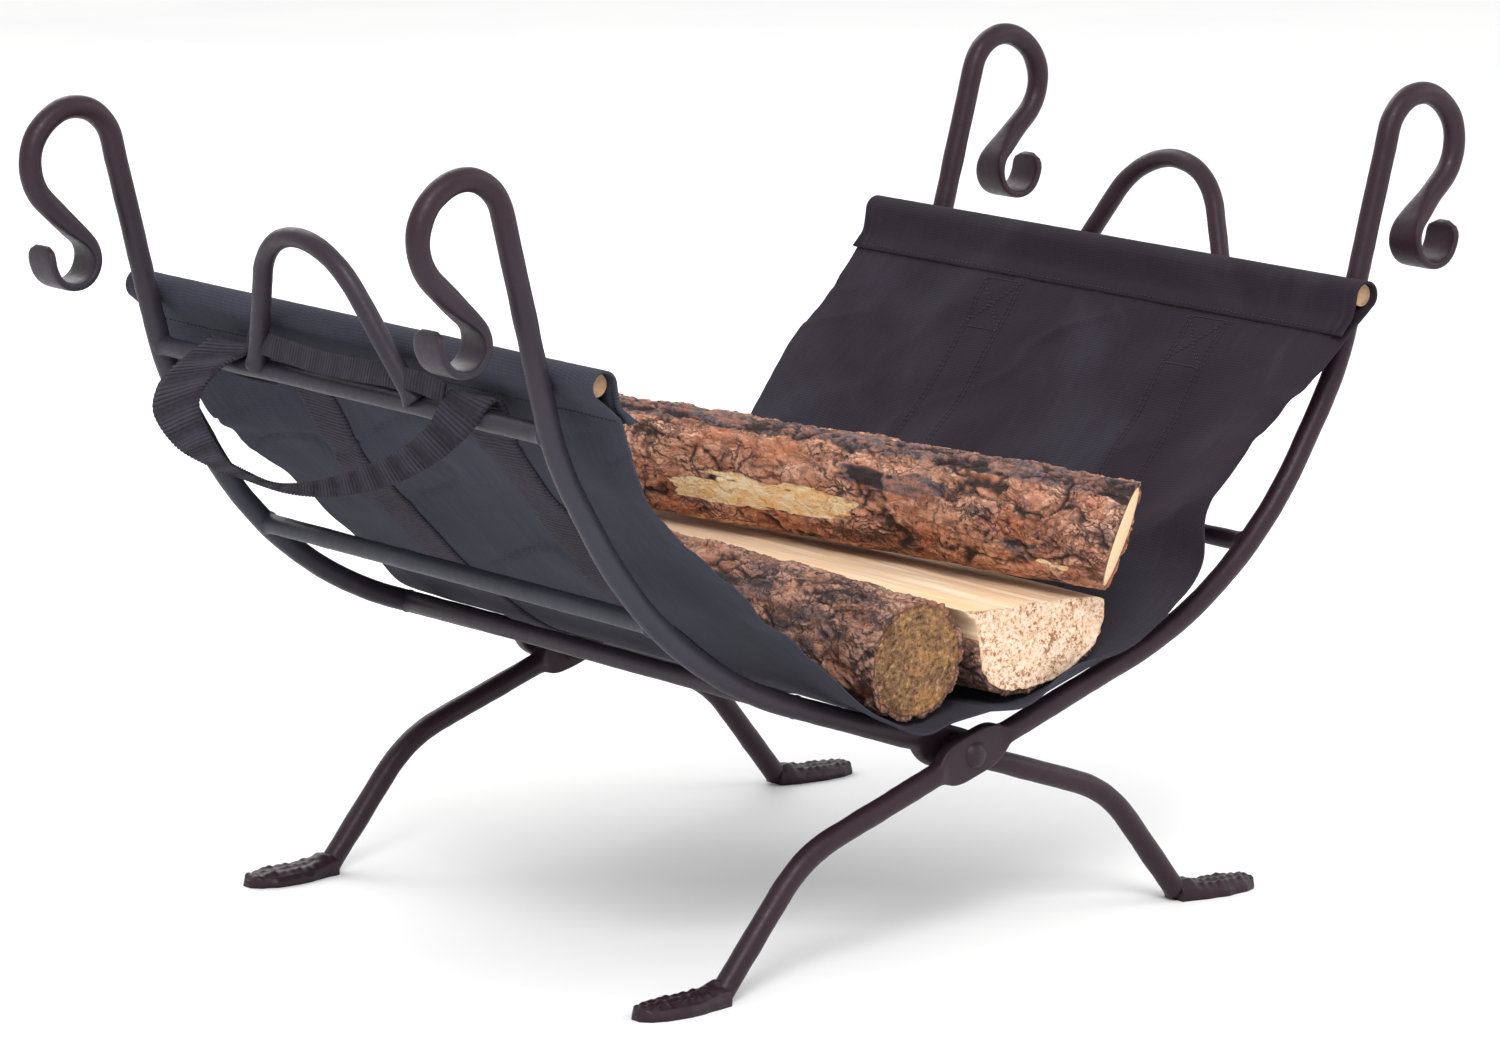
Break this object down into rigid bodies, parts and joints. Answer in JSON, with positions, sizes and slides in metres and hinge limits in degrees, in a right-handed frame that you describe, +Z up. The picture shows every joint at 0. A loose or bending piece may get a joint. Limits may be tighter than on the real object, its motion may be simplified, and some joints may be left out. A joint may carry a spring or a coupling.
{
  "type": "firewood logs in a folding log rack",
  "caption": "Firewood logs lying in a canvas carrier slung between two crossed wrought iron frames that fold on a pivot, with crooked uprights and arched handles.",
  "frame": {"origin": "on the floor, below the middle of the rack, halfway between the two pivots", "axes": "+X across the rack to the right-hand hem, +Y along the logs to the back, +Z up"},
  "size_m": [0.732, 0.4606, 0.457],
  "materials": {
    "forged_iron": "forged wrought iron with a dark brown satin lacquer",
    "canvas": "doubled heavy canvas, charcoal with a purple cast, dusty inside",
    "webbing": "ribbed cotton webbing, dark brown",
    "dowel_wood": "turned hardwood, unfinished",
    "split_wood": "fresh split and sawn wood, pale yellow",
    "weathered_wood": "sawn end, weathered brown and rough",
    "bark": "flaking bark, orange brown with grey furrows"
  },
  "bodies": {
    "pivot": {"front_pivot_bolt": "forged_iron", "front_pivot_spacer": "forged_iron", "front_pivot_washer": "forged_iron", "front_pivot_nut": "forged_iron", "back_pivot_bolt": "forged_iron", "back_pivot_spacer": "forged_iron", "back_pivot_washer": "forged_iron", "back_pivot_nut": "forged_iron"},
    "left_frame": {"left_front_bar": "forged_iron", "left_back_bar": "forged_iron", "left_top_rail": "forged_iron", "left_middle_rail": "forged_iron", "left_lower_rail": "forged_iron", "left_arch_handle": "forged_iron", "right_front_foot": "forged_iron", "right_back_foot": "forged_iron", "left_canvas_panel": "canvas", "left_dowel": "dowel_wood", "left_front_strap": "webbing", "left_back_strap": "webbing", "left_webbing_handle": "webbing", "left_keeper_strap": "webbing"},
    "right_frame": {"right_front_bar": "forged_iron", "right_back_bar": "forged_iron", "right_top_rail": "forged_iron", "right_middle_rail": "forged_iron", "right_lower_rail": "forged_iron", "right_arch_handle": "forged_iron", "left_front_foot": "forged_iron", "left_back_foot": "forged_iron", "right_canvas_panel": "canvas", "right_dowel": "dowel_wood", "right_front_strap": "webbing", "right_back_strap": "webbing", "right_webbing_handle": "webbing", "right_keeper_strap": "webbing"},
    "logs": {"top_log_wood": "split_wood", "top_log_bark": "bark", "lower_log_wood": "weathered_wood", "lower_log_bark": "bark", "split_log_wood": "split_wood", "split_log_bark": "bark"}
  },
  "joints": [
    {"name": "fold_left", "type": "hinge", "parent": "pivot", "child": "left_frame", "pos_m": [0, 0, 0.112], "axis": [0, 1, 0], "range_deg": [0, 15]},
    {"name": "fold_right", "type": "hinge", "parent": "pivot", "child": "right_frame", "pos_m": [0, 0, 0.112], "axis": [0, 1, 0], "range_deg": [-15, 0]},
    {"name": "logs_rise", "type": "slide", "parent": "pivot", "child": "logs", "axis": [0, 0, 1], "range_m": [0, 0.034]}
  ],
  "couplings": [
    {"joint": "fold_right", "follows": "fold_left", "ratio": -1},
    {"joint": "logs_rise", "follows": "fold_left", "m_per_rad": 0.125}
  ]
}
